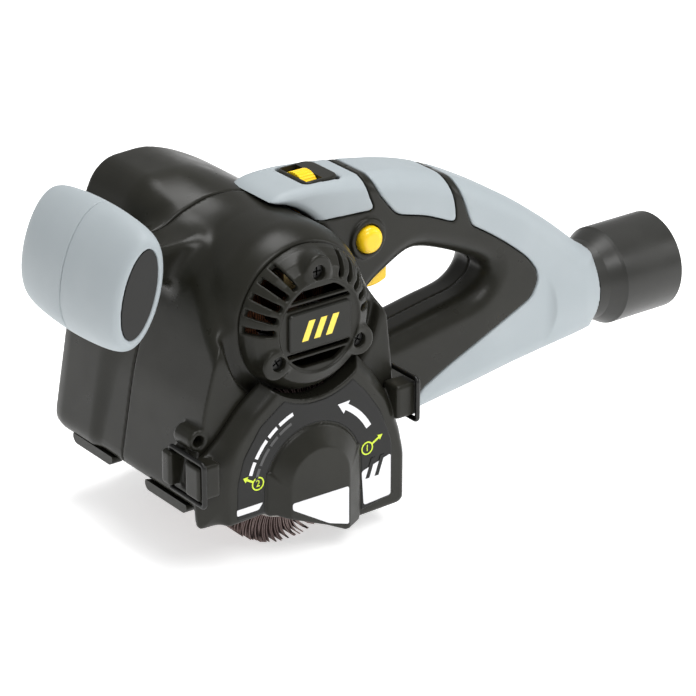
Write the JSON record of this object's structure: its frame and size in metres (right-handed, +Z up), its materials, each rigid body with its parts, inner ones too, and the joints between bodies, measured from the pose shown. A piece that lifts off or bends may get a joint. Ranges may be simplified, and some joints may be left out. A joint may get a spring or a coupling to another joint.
{
  "type": "flap-drum surface tool",
  "caption": "Two-handed electric surface tool with a belt-driven abrasive flap drum under a hood, quick-release side cover, D-handle with trigger and speed dial, front handle and rear dust port",
  "frame": {"origin": "middle of the tool box in X and Y, at the bottom of the drum", "axes": "+X to the rear along the dust port, +Z up, -Y towards the quick-release side cover"},
  "size_m": [0.346, 0.132, 0.1715],
  "materials": {
    "black_plastic": "fine satin texture",
    "grey_grip": "soft matt",
    "yellow_plastic": "semi-gloss",
    "label": "printed film",
    "badge": "satin plate",
    "cap_plastic": "gloss",
    "port_plastic": "satin",
    "black_steel": "blackened steel",
    "abrasive": "abrasive cloth flaps",
    "drum_core": "pressed fibre and resin",
    "inner_plastic": "moulded",
    "steel": "machined",
    "aluminium": "turned",
    "laminations": "stacked sheet",
    "copper": "lacquered copper",
    "carbon": "carbon",
    "brass": "pressed",
    "belt_rubber": "matt"
  },
  "bodies": {
    "root": {"drum_bearing_left": "steel", "drum_bearing_right": "steel", "stator_core": "laminations", "field_coils": "copper", "carbon_brushes": "carbon", "brush_holders": "brass", "motor_bearing_right": "steel", "motor_bearing_left": "steel", "drive_belt": "belt_rubber", "hood_shell": "black_plastic", "motor_housing": "black_plastic", "motor_end_cap": "black_plastic", "end_cap_screws": "black_steel", "end_cap_badge": "badge", "side_cover": "black_plastic", "cover_label": "label", "belt_cover": "black_plastic", "belt_cover_screws": "black_steel", "grip_pad_front": "grey_grip", "grip_pad_middle": "grey_grip", "grip_pad_rear": "grey_grip", "handle_shell_right": "black_plastic", "handle_shell_left": "black_plastic", "handle_screws": "black_steel", "dial_bezel": "black_plastic", "dial_pin": "steel", "switch_body": "inner_plastic", "speed_control_board": "inner_plastic", "trigger_spring": "steel", "lock_spring": "steel", "dust_duct": "inner_plastic", "cord_inlet": "belt_rubber", "front_grip_right": "grey_grip", "front_grip_left": "grey_grip", "front_handle_core": "black_plastic", "front_grip_caps": "cap_plastic", "front_handle_bolt": "steel", "front_skid_right": "black_plastic", "front_skid_left": "black_plastic"},
    "drum": {"abrasive_flaps": "abrasive", "drum_core": "drum_core", "drum_hub_right": "inner_plastic", "drum_hub_left": "inner_plastic", "drum_spindle": "steel", "drum_spacer": "steel", "drum_flange_nut": "steel", "drum_pulley": "aluminium"},
    "rotor": {"rotor_shaft": "steel", "armature_core": "laminations", "armature_windings": "copper", "commutator": "copper", "cooling_fan": "inner_plastic", "motor_pulley": "aluminium"},
    "trigger": {"trigger": "yellow_plastic"},
    "lock_button": {"lock_button": "yellow_plastic"},
    "speed_dial": {"speed_dial": "yellow_plastic"},
    "front_latch": {"front_latch_loop": "black_steel"},
    "rear_latch": {"rear_latch_loop": "black_steel"},
    "dust_adapter": {"dust_adapter": "port_plastic", "adapter_seal": "belt_rubber"}
  },
  "joints": [
    {"name": "drum_spin", "type": "hinge", "parent": "root", "child": "drum", "pos_m": [-0.0796, 0, 0.04], "axis": [0, 1, 0], "continuous": true},
    {"name": "rotor_spin", "type": "hinge", "parent": "root", "child": "rotor", "pos_m": [-0.077, 0, 0.114], "axis": [0, 1, 0], "continuous": true},
    {"name": "trigger_press", "type": "slide", "parent": "root", "child": "trigger", "axis": [0, 0, 1], "range_m": [0, 0.005], "stiffness_N_per_m": 1200, "springref_m": -0.003, "deforming": ["trigger_spring"]},
    {"name": "lock_press", "type": "slide", "parent": "root", "child": "lock_button", "axis": [0, 1, 0], "range_m": [0, 0.003], "stiffness_N_per_m": 900, "springref_m": -0.002},
    {"name": "speed_dial_turn", "type": "hinge", "parent": "root", "child": "speed_dial", "pos_m": [-0.0421, 0, 0.1502], "axis": [1, 0, 0], "range_deg": [0, 270]},
    {"name": "front_latch_swing", "type": "hinge", "parent": "root", "child": "front_latch", "pos_m": [-0.1414, -0.038, 0.055], "axis": [0, 0, -1], "range_deg": [0, 105]},
    {"name": "rear_latch_swing", "type": "hinge", "parent": "root", "child": "rear_latch", "pos_m": [-0.024, -0.038, 0.064], "axis": [0, 0, 1], "range_deg": [0, 105]},
    {"name": "adapter_pull", "type": "slide", "parent": "root", "child": "dust_adapter", "axis": [1, 0, 0], "range_m": [0, 0.02]}
  ],
  "couplings": [
    {"joint": "rotor_spin", "follows": "drum_spin", "ratio": 1.8182}
  ]
}
